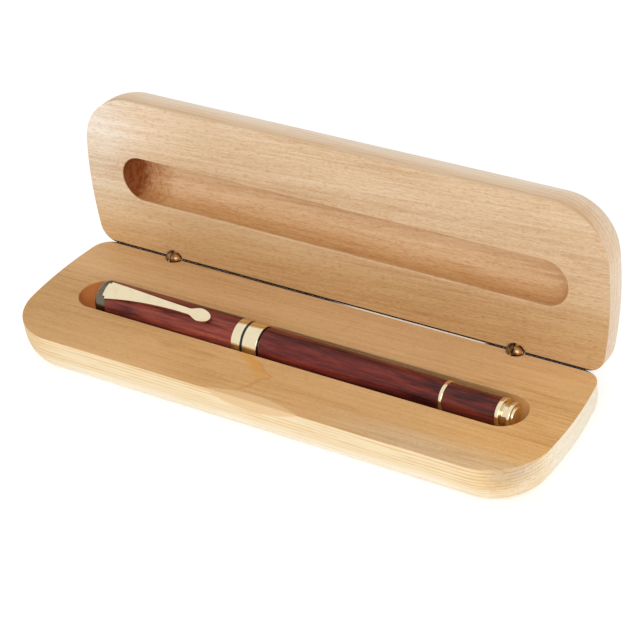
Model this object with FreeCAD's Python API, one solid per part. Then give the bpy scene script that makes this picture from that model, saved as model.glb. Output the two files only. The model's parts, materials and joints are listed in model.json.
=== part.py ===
import FreeCAD, Part
import math
import os

Vector = FreeCAD.Vector
X_AXIS = Vector(1, 0, 0)
Y_AXIS = Vector(0, 1, 0)
Z_AXIS = Vector(0, 0, 1)
CENTRE = Vector(0, 0, 0)

# Wooden halves: +X runs along the pen, +Y points at the hinges, +Z is up from the resting face
case_length = 175.0
case_width = 50.0
floor_thickness = 6.05
front_corner = 17.4
back_corner = 5.8
end_bow = 2.6
edge_wall = 3.5
edge_inset = 6.0
edge_steps = 6
least_corner = 0.3
arris_round = 0.12
closing_gap = 0.2
hinge_inset = 0.1
lid_open_angle = 95.0

# Groove routed in each half, sized from the pen that lies in it and set a little towards the hinges
groove_shift = 0.6
groove_side_room = 1.4
groove_crown_room = 7.9
groove_tail_room = 2.95
groove_floor_round = 6.6
groove_rim_round = 0.4
pen_sink = 1.35
pen_seat_gap = 0.1

# Ball hinges: two half-lapped eyes on one rivet, each with a ring shank set in its half at 45 degrees
hinge_spread = 117.0
shank_angle = 45.0
ball_radius = 2.1
ball_half_length = 2.65
ball_end_cut = 0.3
ball_room = 0.35
lap_gap = 0.3
lap_room = 0.12
shank_radius = 1.7
shank_length = 12.5
shank_taper = 0.6
shank_rings = 4
ring_pitch = 1.9
ring_groove = 0.9
ring_depth = 0.3
hole_room = 0.4
rivet_radius = 0.6
rivet_head_radius = 0.85
rivet_head_height = 0.3
rivet_head_flat = 0.35
running_clearance = 0.03

# Pen, from the crown on the left to the finial on the right
crown_length = 4.1
crown_round = 1.2
crown_stud_radius = 2.0
crown_stud_length = 5.0
cap_radius = 5.7
cap_length = 45.2
cap_wall = 0.8
liner_wall = 0.35
bush_length = 5.5
band_length = 8.7
band_proud = 0.05
band_edge_round = 0.25
inlay_offset = 3.1
inlay_width = 0.85
inlay_depth = 0.4
mouth_gap = 0.45
barrel_length = 58.4
barrel_mouth_radius = 5.3
barrel_end_radius = 4.5
barrel_bore = 4.0
ring_width = 1.2
ring_radius = 4.65
tail_length = 16.0
tail_radius = 4.3
tail_end_radius = 4.15
tail_bush_length = 6.5
finial_stud_radius = 2.0
finial_flange_length = 1.4
finial_neck_length = 1.9
finial_neck_radius = 2.9
finial_disc_length = 1.1
finial_disc_radius = 3.75
finial_dome_length = 0.5
finial_dome_radius = 2.7

# Clip: a sprung arm with a tongue trapped under the crown
clip_turn = 23.5
clip_thickness = 0.75
clip_length = 37.0
clip_root_half_width = 2.9
clip_neck_half_width = 0.95
clip_spoon_half_width = 2.05
clip_spoon_length = 7.2
clip_rise = 1.3
clip_seat_gap = 0.2
clip_bead_height = 0.9
clip_waist_pull = 0.33
clip_waist_draw = 0.55
clip_nose_pull = 0.55
tongue_half_width = 2.2
tongue_depth = 1.5
tongue_thickness = 0.65
tongue_room = 0.15

# Writing parts inside the closed pen
section_length = 25.5
section_clearance = 0.15
section_lip_radius = 3.6
section_hollow = 0.15
section_flange_inset = 0.4
section_face_gap = 0.1
tenon_length = 8.5
tenon_clearance = 0.05
nipple_length = 4.0
nipple_radius = 2.0
ink_channel_radius = 0.9
nib_length = 21.0
nib_tang = 8.0
nib_radius = 2.75
nib_shell = 0.35
nib_tip_radius = 0.85
nib_tip_half_width = 0.45
nib_waist_half_width = 1.4
nib_shoulder = 7.0
nib_slit = 0.15
breather_radius = 0.7
feed_short = 3.5
feed_tail = 10.0
feed_tip_radius = 0.7
feed_fins = 7
fin_pitch = 1.2
fin_slot = 0.4
fin_depth = 0.9
converter_radius = 3.15
converter_wall = 0.6
converter_end_room = 2.9
collar_length = 9.0
collar_wall = 0.3
knob_radius = 3.0
knob_gap = 0.15
knob_end_wall = 2.0
knob_flutes = 12
flute_radius = 0.35
piston_length = 3.5
piston_front_room = 1.0
piston_back_room = 2.0
piston_clearance = 0.05
rod_radius = 0.9
rod_hold = 3.85
rod_clearance = 0.06
liner_end_gap = 0.1

# Sizes that follow from the ones above
groove_half_width = cap_radius + groove_side_room
groove_depth = pen_sink + cap_radius + band_proud + pen_seat_gap
half_thickness = groove_depth + floor_thickness
pen_z = half_thickness - pen_sink
pivot = Vector(0, case_width / 2 - hinge_inset, half_thickness + closing_gap / 2)
lap_radius = max(ball_radius, shank_radius * math.sqrt(2)) + lap_room

finial_length = finial_flange_length + finial_neck_length + finial_disc_length + finial_dome_length
pen_length = (crown_length + cap_length + band_length + mouth_gap + barrel_length
              + ring_width + tail_length + finial_length)
groove_length = groove_crown_room + pen_length + groove_tail_room
crown_x = groove_crown_room - groove_length / 2
cap_x = crown_x + crown_length
band_x = cap_x + cap_length
mouth_x = band_x + band_length
barrel_x = mouth_x + mouth_gap
ring_x = barrel_x + barrel_length
tail_x = ring_x + ring_width
finial_x = tail_x + tail_length

cap_bore = cap_radius - cap_wall
liner_bore = cap_bore - liner_wall
barrel_liner_radius = barrel_bore - tenon_clearance
barrel_liner_bore = barrel_liner_radius - liner_wall
section_radius = liner_bore - section_clearance
section_x = barrel_x - section_length
tenon_radius = barrel_liner_bore - tenon_clearance
tenon_end = barrel_x + tenon_length
barrel_room = barrel_length - tenon_length - tail_bush_length
piston_travel = (barrel_room - nipple_length - piston_front_room - piston_length - piston_back_room
                 - knob_gap - rod_hold - knob_end_wall - converter_end_room) / 2
converter_bore = converter_radius - converter_wall
piston_x = tenon_end + nipple_length + piston_front_room
rod_x = piston_x + piston_length
converter_end = rod_x + piston_travel + piston_back_room
knob_x = converter_end + knob_gap
rod_end = knob_x + rod_hold
knob_end = rod_end + piston_travel + knob_end_wall
feed_radius = nib_radius - nib_shell


# A solid of revolution about the X axis: each step is a point (x, r), or a mid point and an end point of an arc
def turned(start, *steps, angle=360.0):
    edges = []
    here = Vector(*start, 0)
    for step in steps:
        if isinstance(step[0], tuple):
            middle = Vector(*step[0], 0)
            there = Vector(*step[1], 0)
            edges.append(Part.Arc(here, middle, there).toShape())
        else:
            there = Vector(*step, 0)
            edges.append(Part.makeLine(here, there))
        here = there
    edges.append(Part.makeLine(here, Vector(*start, 0)))
    return Part.Face(Part.Wire(edges)).revolve(CENTRE, X_AXIS, angle)


def tube(outer, inner, x_low, x_high):
    return turned((x_low, inner), (x_low, outer), (x_high, outer), (x_high, inner))


def rod(radius, x_low, x_high):
    return Part.makeCylinder(radius, x_high - x_low, Vector(x_low, 0, 0), X_AXIS)


# An ellipsoid of revolution about the X axis
def bean(half_length, radius):
    ellipse = Part.Ellipse(CENTRE, half_length, radius)
    arc = Part.ArcOfEllipse(ellipse, 0, math.pi).toShape()
    chord = Part.makeLine(Vector(-half_length, 0, 0), Vector(half_length, 0, 0))
    return Part.Face(Part.Wire([arc, chord])).revolve(CENTRE, X_AXIS, 360)


def centred_box(x_low, x_high, half_width, z_low, z_high):
    return Part.makeBox(x_high - x_low, 2 * half_width, z_high - z_low, Vector(x_low, -half_width, z_low))


def turned_about_x(shape, angle, centre=CENTRE):
    copy = shape.copy()
    copy.rotate(centre, X_AXIS, angle)
    return copy


def in_pen(shape):
    copy = shape.copy()
    copy.translate(Vector(0, groove_shift, pen_z))
    return copy


# Plan outline of a half, drawn in by an inset: straight sides, bowed ends and four tangent corner arcs
def plan_outline(inset, height):
    half_length = case_length / 2 - inset
    half_width = case_width / 2 - inset
    bow_radius = (end_bow ** 2 + (case_width / 2) ** 2) / (2 * end_bow) - inset
    bow_centre = half_length - bow_radius

    def corner(radius):
        radius = max(radius - inset, least_corner)
        centre_x = bow_centre + math.sqrt((bow_radius - radius) ** 2 - (half_width - radius) ** 2)
        centre_y = half_width - radius
        reach = math.hypot(centre_x - bow_centre, centre_y)
        end_x = bow_centre + (centre_x - bow_centre) * bow_radius / reach
        end_y = centre_y * bow_radius / reach
        middle_angle = (math.pi / 2 + math.atan2(centre_y, centre_x - bow_centre)) / 2
        middle_x = centre_x + radius * math.cos(middle_angle)
        middle_y = centre_y + radius * math.sin(middle_angle)
        return (centre_x, half_width), (middle_x, middle_y), (end_x, end_y)

    front = corner(front_corner)
    back = corner(back_corner)

    def point(place, side_x, side_y):
        return Vector(side_x * place[0], side_y * place[1], height)

    def arc(low, middle, high):
        return Part.Arc(low, middle, high).toShape()

    edges = [Part.makeLine(point(front[0], -1, -1), point(front[0], 1, -1))]
    edges.append(arc(*[point(place, 1, -1) for place in front]))
    edges.append(arc(point(front[2], 1, -1), Vector(half_length, 0, height), point(back[2], 1, 1)))
    edges.append(arc(*[point(place, 1, 1) for place in reversed(back)]))
    edges.append(Part.makeLine(point(back[0], 1, 1), point(back[0], -1, 1)))
    edges.append(arc(*[point(place, -1, 1) for place in back]))
    edges.append(arc(point(back[2], -1, 1), Vector(-half_length, 0, height), point(front[2], -1, -1)))
    edges.append(arc(*[point(place, -1, -1) for place in reversed(front)]))
    return Part.Wire(edges)


# The groove that the pen lies in: a stadium with a round floor
def groove_cutter():
    straight = groove_length / 2 - groove_half_width
    top = groove_rim_round + arris_round
    low_left = Vector(-straight, -groove_half_width, top)
    low_right = Vector(straight, -groove_half_width, top)
    high_right = Vector(straight, groove_half_width, top)
    high_left = Vector(-straight, groove_half_width, top)
    edges = [Part.makeLine(low_left, low_right)]
    edges.append(Part.Arc(low_right, Vector(groove_length / 2, 0, top), high_right).toShape())
    edges.append(Part.makeLine(high_right, high_left))
    edges.append(Part.Arc(high_left, Vector(-groove_length / 2, 0, top), low_left).toShape())
    cutter = Part.Face(Part.Wire(edges)).extrude(Vector(0, 0, -groove_depth - top))
    floor_edges = edges_at_height(cutter, -groove_depth)
    cutter = cutter.makeFillet(groove_floor_round, floor_edges)
    cutter.translate(Vector(0, groove_shift, 0))
    return cutter


def edges_at_height(shape, height):
    tiny = 1e-4
    found = []
    for edge in shape.Edges:
        box = edge.BoundBox
        if abs(box.ZMin - height) < tiny and abs(box.ZMax - height) < tiny:
            found.append(edge)
    return found


# One half with its parting face up at z = 0 and its hinge side towards +Y
def half_block():
    wall = Part.Face(plan_outline(0, 0)).extrude(Vector(0, 0, -edge_wall))
    sections = []
    for step in range(edge_steps + 1):
        angle = step / edge_steps * math.pi / 2
        inset = edge_inset * (1 - math.cos(angle))
        depth = edge_wall + (half_thickness - edge_wall) * math.sin(angle)
        sections.append(plan_outline(inset, -depth))
    crown = Part.makeLoft(sections, True, False)
    block = wall.fuse(crown).removeSplitter()
    block = block.makeFillet(arris_round, edges_at_height(block, 0))
    block = block.cut(groove_cutter())
    rim = [edge for edge in edges_at_height(block, 0)
           if edge.BoundBox.YMax < groove_shift + groove_half_width + arris_round
           and edge.BoundBox.YMin > groove_shift - groove_half_width - arris_round]
    block = block.makeFillet(groove_rim_round, rim)
    for place in hinge_places():
        seat = bean(ball_half_length + ball_room, ball_radius + ball_room)
        hole = Part.makeCylinder(shank_radius, shank_length + hole_room, CENTRE, -Z_AXIS)
        hole = turned_about_x(hole, -shank_angle)
        for cutter in (seat, hole):
            cutter.translate(place)
            block = block.cut(cutter)
    return block


def hinge_places():
    lift = pivot - Vector(0, 0, half_thickness)
    return [lift + Vector(side * hinge_spread / 2, 0, 0) for side in (-1, 1)]


def base_block():
    block = half_block()
    block.translate(Vector(0, 0, half_thickness))
    return block


def lid_block():
    block = half_block()
    block.rotate(CENTRE, Y_AXIS, 180)
    block.translate(Vector(0, 0, half_thickness + closing_gap))
    return turned_about_x(block, -lid_open_angle, pivot)


# A hinge pin with its pivot at the origin: side is the half of the ball that its eye fills
def hinge_pin(side, clearance):
    rings = [(shank_length - shank_taper - (count + 1) * ring_pitch) for count in range(shank_rings)]
    outline = [(0, shank_radius)]
    for start in reversed(rings):
        outline.append((start, shank_radius))
        outline.append((start, shank_radius - ring_depth))
        outline.append((start + ring_groove, shank_radius - ring_depth))
        outline.append((start + ring_groove, shank_radius))
    outline.append((shank_length - shank_taper, shank_radius))
    outline.append((shank_length, shank_radius - shank_taper))
    outline.append((shank_length, 0))
    shank = turned((0, 0), *outline)
    shank.rotate(CENTRE, Y_AXIS, 90)
    reach = ball_half_length + ball_room
    lap = side * lap_gap / 2
    other_half = Part.makeCylinder(lap_radius, reach, Vector(lap, 0, 0), -side * X_AXIS)
    eye = bean(ball_half_length, ball_radius)
    eye_end = ball_half_length - ball_end_cut
    eye = eye.common(Part.makeCylinder(reach, eye_end - abs(lap), Vector(lap, 0, 0), side * X_AXIS))
    pin = shank.cut(other_half).fuse(eye).removeSplitter()
    return pin.cut(rod(rivet_radius + clearance, -reach, reach))


def rivet():
    base_end = -(ball_half_length - ball_end_cut)
    lid_end = -base_end + running_clearance
    edge = (rivet_head_radius - rivet_head_flat) * math.sqrt(0.5)
    rise = rivet_head_height * math.sqrt(0.5)
    return turned((base_end - rivet_head_height, 0),
                  (base_end - rivet_head_height, rivet_head_flat),
                  ((base_end - rise, rivet_head_flat + edge), (base_end, rivet_head_radius)),
                  (base_end, rivet_radius),
                  (lid_end, rivet_radius),
                  (lid_end, rivet_head_radius),
                  ((lid_end + rise, rivet_head_flat + edge), (lid_end + rivet_head_height, rivet_head_flat)),
                  (lid_end + rivet_head_height, 0))


def at_hinge(shape, side):
    copy = shape.copy()
    copy.translate(pivot + Vector(side * hinge_spread / 2, 0, 0))
    return copy


def clip_tongue_box(half_width, room):
    low = cap_x - tongue_room - tongue_thickness - room
    high = cap_x - tongue_room + room
    return centred_box(low, high, half_width + room, cap_radius - tongue_depth - room, cap_radius + crown_round)


def cap_crown():
    soft = crown_round * (1 - math.sqrt(0.5))
    crown = turned((crown_x, 0),
                   (crown_x, cap_radius - crown_round),
                   ((crown_x + soft, cap_radius - soft), (crown_x + crown_round, cap_radius)),
                   (cap_x, cap_radius),
                   (cap_x, crown_stud_radius),
                   (cap_x + crown_stud_length, crown_stud_radius),
                   (cap_x + crown_stud_length, 0))
    slot = clip_tongue_box(tongue_half_width, tongue_room)
    return crown.cut(turned_about_x(slot, clip_turn))


# The arm is a strip turned about the pen's axis, so that it is arched like the cap, and cut to its plan
def clip():
    low = cap_radius + clip_seat_gap
    start = cap_x
    end = cap_x + clip_length
    middle = (start + end) / 2
    spoon = end - clip_spoon_length
    bead = end - clip_spoon_length / 2
    top = low + clip_thickness
    profile = turned((start, low),
                     ((middle, low + clip_rise), (spoon, low + clip_bead_height)),
                     ((bead, low), (end, low + clip_bead_height)),
                     ((bead, top + clip_bead_height), (spoon, top + clip_bead_height)),
                     ((middle, top + clip_rise), (start, top)),
                     angle=180.0)
    arm = profile.common(clip_plan(start, spoon, end))
    tongue = clip_tongue_box(tongue_half_width, 0)
    root = centred_box(cap_x - tongue_room - tongue_thickness, start, tongue_half_width, low, top)
    arched = tube(top, low, cap_x - tongue_room - tongue_thickness, start).common(root)
    tongue = tongue.common(rod(top, crown_x, cap_x))
    return turned_about_x(arm.fuse(tongue).fuse(arched).removeSplitter(), clip_turn)


def clip_plan(start, spoon, end):
    def at(x, y):
        return Vector(x, y, 0)

    def eased(low_x, low_y, high_x, high_y, draw):
        pull = clip_waist_pull * (high_x - low_x)
        drawn_y = low_y + draw * (high_y - low_y)
        curve = Part.BezierCurve()
        curve.setPoles([at(low_x, low_y), at(low_x + pull, drawn_y), at(high_x - pull, high_y), at(high_x, high_y)])
        return curve.toShape()

    spoon_middle = (spoon + end) / 2
    edges = []
    for side in (1, -1):
        edges.append(eased(start, side * clip_root_half_width, spoon, side * clip_neck_half_width, clip_waist_draw))
        edges.append(eased(spoon, side * clip_neck_half_width, spoon_middle, side * clip_spoon_half_width, 0))
        nose = Part.BezierCurve()
        nose.setPoles([at(spoon_middle, side * clip_spoon_half_width),
                       at(spoon_middle + clip_nose_pull * (end - spoon_middle), side * clip_spoon_half_width),
                       at(end, side * clip_spoon_half_width * clip_nose_pull),
                       at(end, 0)])
        edges.append(nose.toShape())
    edges.append(Part.makeLine(at(start, clip_root_half_width), at(start, -clip_root_half_width)))
    outline = Part.Wire(Part.sortEdges(edges)[0])
    return Part.Face(outline).extrude(Vector(0, 0, 2 * cap_radius))


def cap_band():
    outer = cap_radius + band_proud
    inlay = band_x + inlay_offset
    soft = band_edge_round
    return turned((band_x, cap_bore),
                  (band_x, outer - soft),
                  (band_x + soft, outer),
                  (inlay, outer),
                  (inlay, outer - inlay_depth),
                  (inlay + inlay_width, outer - inlay_depth),
                  (inlay + inlay_width, outer),
                  (mouth_x - soft, outer),
                  (mouth_x, outer - soft),
                  (mouth_x, cap_bore))


def band_inlay():
    outer = cap_radius + band_proud
    low = band_x + inlay_offset
    return tube(outer - band_proud, outer - inlay_depth, low, low + inlay_width)


def barrel_sleeve():
    return turned((barrel_x, barrel_bore),
                  (barrel_x, barrel_mouth_radius),
                  (ring_x, barrel_end_radius),
                  (ring_x, barrel_bore))


def tail_finial():
    flange = finial_x + finial_flange_length
    neck = flange + finial_neck_length
    disc = neck + finial_disc_length
    end = disc + finial_dome_length
    stud = ring_x - tail_bush_length
    soft = finial_dome_length * (1 - math.sqrt(0.5))
    return turned((stud, 0),
                  (stud, finial_stud_radius),
                  (finial_x, finial_stud_radius),
                  (finial_x, tail_end_radius),
                  ((finial_x + finial_flange_length / 2, tail_end_radius + band_edge_round),
                   (flange, tail_end_radius)),
                  (flange, finial_neck_radius),
                  (neck, finial_neck_radius),
                  (neck, finial_disc_radius),
                  ((neck + finial_disc_length / 2, finial_disc_radius + band_edge_round),
                   (disc, finial_disc_radius)),
                  (disc, finial_dome_radius),
                  ((end - soft, finial_dome_radius - soft), (end, finial_dome_radius - finial_dome_length)),
                  (end, 0))


def tail_sleeve():
    return turned((tail_x, finial_stud_radius),
                  (tail_x, tail_radius),
                  (finial_x, tail_end_radius),
                  (finial_x, finial_stud_radius))


def section():
    flange_radius = barrel_mouth_radius - section_flange_inset
    flange_face = mouth_x + section_face_gap
    waist = (section_x + band_x) / 2
    shell = turned((section_x, nib_radius),
                   (section_x, section_lip_radius),
                   ((waist, (section_lip_radius + section_radius) / 2 - section_hollow),
                    (band_x, section_radius)),
                   (flange_face, section_radius),
                   (flange_face, flange_radius),
                   (barrel_x, flange_radius),
                   (barrel_x, tenon_radius),
                   (tenon_end, tenon_radius),
                   (tenon_end, nipple_radius),
                   (tenon_end + nipple_length, nipple_radius),
                   (tenon_end + nipple_length, ink_channel_radius),
                   (section_x + feed_tail, ink_channel_radius),
                   (section_x + feed_tail, nib_radius))
    return shell


def nib():
    tang = section_x + nib_tang
    shoulder = section_x - nib_shoulder
    tip = section_x - nib_length
    shell = turned((tang, nib_radius),
                   (shoulder, nib_radius),
                   (tip, nib_tip_radius),
                   (tip, nib_tip_radius - nib_shell),
                   (shoulder, nib_radius - nib_shell),
                   (tang, nib_radius - nib_shell),
                   angle=180.0)
    plan = [Part.makeLine(Vector(tang, -nib_radius, 0), Vector(shoulder, -nib_radius, 0))]
    waist = (shoulder + tip) / 2
    plan.append(Part.Arc(Vector(shoulder, -nib_radius, 0), Vector(waist, -nib_waist_half_width, 0),
                         Vector(tip, -nib_tip_half_width, 0)).toShape())
    plan.append(Part.makeLine(Vector(tip, -nib_tip_half_width, 0), Vector(tip, nib_tip_half_width, 0)))
    plan.append(Part.Arc(Vector(tip, nib_tip_half_width, 0), Vector(waist, nib_waist_half_width, 0),
                         Vector(shoulder, nib_radius, 0)).toShape())
    plan.append(Part.makeLine(Vector(shoulder, nib_radius, 0), Vector(tang, nib_radius, 0)))
    plan.append(Part.makeLine(Vector(tang, nib_radius, 0), Vector(tang, -nib_radius, 0)))
    blade = shell.common(Part.Face(Part.Wire(plan)).extrude(Vector(0, 0, 2 * nib_radius)))
    slit = centred_box(tip - nib_shell, shoulder, nib_slit / 2, 0, 2 * nib_radius)
    breather = Part.makeCylinder(breather_radius, 2 * nib_radius, Vector(shoulder, 0, 0), Z_AXIS)
    return blade.cut(slit).cut(breather)


def feed():
    tail = section_x + feed_tail
    shoulder = section_x - nib_shoulder
    tip = section_x - nib_length + feed_short
    body = turned((tail, 0), (tail, feed_radius), (section_x, feed_radius), (section_x, 0))
    nose = turned((section_x, 0), (section_x, feed_radius), (shoulder, feed_radius), (tip, feed_tip_radius),
                  (tip, 0), angle=180.0)
    nose = turned_about_x(nose, 180)
    comb = body.fuse(nose).removeSplitter()
    for count in range(feed_fins):
        low = section_x - (count + 1) * fin_pitch
        comb = comb.cut(centred_box(low, low + fin_slot, feed_radius, -feed_radius, -feed_radius + fin_depth))
    return comb


def converter_tube():
    mouth = tenon_end + nipple_length
    return turned((tenon_end, nipple_radius),
                  (tenon_end, converter_radius),
                  (converter_end, converter_radius),
                  (converter_end, converter_bore),
                  (mouth, converter_bore),
                  (mouth, nipple_radius))


def converter_knob():
    knob = rod(knob_radius, knob_x, knob_end)
    knob = knob.cut(rod(rod_radius + rod_clearance, knob_x, knob_end - knob_end_wall / 2))
    for count in range(knob_flutes):
        flute = Part.makeCylinder(flute_radius, knob_end - knob_x, Vector(knob_x, 0, knob_radius), X_AXIS)
        knob = knob.cut(turned_about_x(flute, count * 360 / knob_flutes))
    return knob


pieces = {
    "base_block": base_block(),
    "lid_block": lid_block(),
    "cap_crown": in_pen(cap_crown()),
    "clip": in_pen(clip()),
    "cap_bush": in_pen(tube(liner_bore, crown_stud_radius, cap_x, cap_x + bush_length)),
    "cap_sleeve": in_pen(tube(cap_radius, cap_bore, cap_x, band_x)),
    "cap_liner": in_pen(tube(cap_bore, liner_bore, cap_x, mouth_x)),
    "cap_band": in_pen(cap_band()),
    "band_inlay": in_pen(band_inlay()),
    "section": in_pen(section()),
    "nib": in_pen(nib()),
    "feed": in_pen(feed()),
    "barrel_sleeve": in_pen(barrel_sleeve()),
    "barrel_liner": in_pen(tube(barrel_liner_radius, barrel_liner_bore,
                                barrel_x + liner_end_gap, ring_x - liner_end_gap)),
    "barrel_bush": in_pen(tube(tenon_radius, finial_stud_radius, ring_x - tail_bush_length, ring_x)),
    "barrel_ring": in_pen(tube(ring_radius, finial_stud_radius, ring_x, tail_x)),
    "tail_sleeve": in_pen(tail_sleeve()),
    "tail_finial": in_pen(tail_finial()),
    "converter_tube": in_pen(converter_tube()),
    "converter_collar": in_pen(tube(converter_radius + collar_wall, converter_radius,
                                    converter_end - collar_length, converter_end)),
    "converter_knob": in_pen(converter_knob()),
    "piston": in_pen(rod(converter_bore - piston_clearance, piston_x, piston_x + piston_length)),
    "piston_rod": in_pen(rod(rod_radius, rod_x, rod_end)),
}

base_pin = turned_about_x(hinge_pin(-1, 0), -shank_angle)
lid_pin = turned_about_x(hinge_pin(1, running_clearance), shank_angle - 180 - lid_open_angle)
for name, side in (("left", -1), ("right", 1)):
    pieces["hinge_base_pin_" + name] = at_hinge(base_pin, side)
    pieces["hinge_lid_pin_" + name] = at_hinge(lid_pin, side)
    pieces["hinge_rivet_" + name] = at_hinge(rivet(), side)

os.makedirs("parts", exist_ok=True)
for name, shape in pieces.items():
    shape.exportStep("parts/" + name + ".step")
    print(name, len(shape.Solids), shape.isValid(), round(shape.Volume, 2))
print("half thickness", half_thickness, "pivot", tuple(pivot), "pen axis height", pen_z)
print("pen length", pen_length, "groove length", groove_length, "piston travel", piston_travel)
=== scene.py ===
import json
import math

import bmesh
import bpy
from mathutils import Matrix, Vector


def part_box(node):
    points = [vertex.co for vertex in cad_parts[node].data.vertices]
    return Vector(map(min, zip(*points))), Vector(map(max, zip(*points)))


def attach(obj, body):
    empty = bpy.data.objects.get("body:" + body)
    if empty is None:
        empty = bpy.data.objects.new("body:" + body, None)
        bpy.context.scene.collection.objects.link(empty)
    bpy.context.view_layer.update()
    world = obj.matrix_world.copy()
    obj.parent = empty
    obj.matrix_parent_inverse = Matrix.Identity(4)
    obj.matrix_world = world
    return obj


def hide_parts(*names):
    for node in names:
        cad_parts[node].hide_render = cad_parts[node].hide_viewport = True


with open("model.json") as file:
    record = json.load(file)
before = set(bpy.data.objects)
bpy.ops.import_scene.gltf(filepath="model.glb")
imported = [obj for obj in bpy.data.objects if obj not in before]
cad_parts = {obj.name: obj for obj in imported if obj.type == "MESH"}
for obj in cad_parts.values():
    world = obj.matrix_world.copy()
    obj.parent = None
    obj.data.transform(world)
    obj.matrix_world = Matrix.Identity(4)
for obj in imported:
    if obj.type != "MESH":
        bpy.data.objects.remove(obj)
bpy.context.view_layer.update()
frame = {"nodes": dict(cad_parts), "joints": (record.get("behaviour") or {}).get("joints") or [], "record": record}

nodes = frame["nodes"]
record = frame["record"]
joints = {joint["name"]: joint for joint in frame["joints"]}
slotOf = {row["node"]: row["material_slot"] for row in record["subparts"]}
bodyOf = {node: body for body, members in record["behaviour"]["bodies"].items() for node in members}
scene = bpy.context.scene
mm = 0.001
print("frame loaded:", len(nodes), "pieces")


# a Wire is one socket, and sums on it add Math nodes
class Wire:
    def __init__(self, graph, socket):
        self.graph = graph
        self.socket = socket

    def __add__(self, other):
        return self.graph.maths("ADD", self, other)

    def __radd__(self, other):
        return self.graph.maths("ADD", other, self)

    def __sub__(self, other):
        return self.graph.maths("SUBTRACT", self, other)

    def __rsub__(self, other):
        return self.graph.maths("SUBTRACT", other, self)

    def __mul__(self, other):
        return self.graph.maths("MULTIPLY", self, other)

    def __rmul__(self, other):
        return self.graph.maths("MULTIPLY", other, self)

    def __truediv__(self, other):
        return self.graph.maths("DIVIDE", self, other)

    def __rtruediv__(self, other):
        return self.graph.maths("DIVIDE", other, self)

    def __pow__(self, other):
        return self.graph.maths("POWER", self, other)

    def __rpow__(self, other):
        return self.graph.maths("POWER", other, self)


# the nodes of one material, world or geometry tree
class Graph:
    def __init__(self, tree):
        self.tree = tree
        tree.nodes.clear()

    # any node: its type, its settings first, then the values or links of its sockets
    def node(self, kind, settings=None, sockets=None, output=0):
        made = self.tree.nodes.new(kind)
        for key, value in (settings or {}).items():
            if key == "stops":
                ramp = made.color_ramp
                while len(ramp.elements) < len(value):
                    ramp.elements.new(1.0)
                for element, (place, colour) in zip(ramp.elements, value):
                    element.position = place
                    element.color = (*colour, 1.0)
            else:
                setattr(made, key, value)
        for key, value in (sockets or {}).items():
            if isinstance(value, Wire):
                self.tree.links.new(value.socket, made.inputs[key])
            else:
                made.inputs[key].default_value = value
        return Wire(self, made.outputs[output]) if made.outputs else made

    def maths(self, operation, left, right=0.0):
        return self.node("ShaderNodeMath", {"operation": operation}, {0: left, 1: right})

    def size(self, value):
        return self.maths("ABSOLUTE", value)

    def above(self, value, least=0.0):
        return self.maths("MAXIMUM", value, least)

    def clamp(self, value):
        return self.node("ShaderNodeClamp", None, {0: value})

    # 0 at low, 1 at high, eased between, where low may be the larger
    def rise(self, value, low, high):
        return self.node("ShaderNodeMapRange", {"interpolation_type": "SMOOTHSTEP"},
                         {0: value, 1: low, 2: high, 3: 0.0, 4: 1.0})

    # 1 at low, 0 at high
    def fall(self, value, low, high):
        return self.node("ShaderNodeMapRange", {"interpolation_type": "SMOOTHSTEP"},
                         {0: value, 1: low, 2: high, 3: 1.0, 4: 0.0})

    def mix(self, factor, first, second, blend="MIX"):
        return self.node("ShaderNodeMix", {"data_type": "RGBA", "blend_type": blend},
                         {0: factor, 6: first, 7: second}, output=2)

    def ramp(self, value, stops):
        return self.node("ShaderNodeValToRGB", {"stops": stops}, {0: value})

    # the piece's own place in millimetres, turned and then moved to the grain of its block
    def place(self, shift=(0, 0, 0), turn=(0, 0, 0)):
        coords = self.node("ShaderNodeTexCoord", output="Object")
        return self.node("ShaderNodeMapping", {"vector_type": "POINT"},
                         {"Vector": coords, "Location": shift, "Rotation": turn, "Scale": (1 / mm,) * 3})

    def vector(self, x, y, z):
        return self.node("ShaderNodeCombineXYZ", None, {0: x, 1: y, 2: z})

    def axis(self, vector, name):
        return self.node("ShaderNodeSeparateXYZ", None, {0: vector}, output="XYZ".index(name))

    # value noise, one feature per unit of the stretched place
    def noise(self, vector, scale, detail=2.0, rough=0.5, warp=0.0):
        stretched = self.node("ShaderNodeVectorMath", {"operation": "MULTIPLY"}, {0: vector, 1: scale})
        return self.node("ShaderNodeTexNoise", None,
                         {"Vector": stretched, "Scale": 1.0, "Detail": detail, "Roughness": rough,
                          "Distortion": warp})

    def bump(self, height, strength, distance):
        return self.node("ShaderNodeBump", None,
                         {"Height": height, "Strength": strength, "Distance": distance})

    def surface(self, **sockets):
        shader = self.node("ShaderNodeBsdfPrincipled", None,
                           {key.replace("_", " "): value for key, value in sockets.items()})
        self.node("ShaderNodeOutputMaterial", None, {"Surface": shader})
        return self.material


def newFinish(name):
    material = bpy.data.materials.new(name)
    material.use_nodes = True
    finish = Graph(material.node_tree)
    finish.material = material
    return finish


# a colour as read on a screen, in the linear values that sockets take
def tone(*levels):
    shares = [level / 255 for level in levels]
    return tuple(((s + 0.055) / 1.055) ** 2.4 if s > 0.04 else s / 12.92 for s in shares)


def opaque(colour):
    return (*colour, 1.0)


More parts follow.
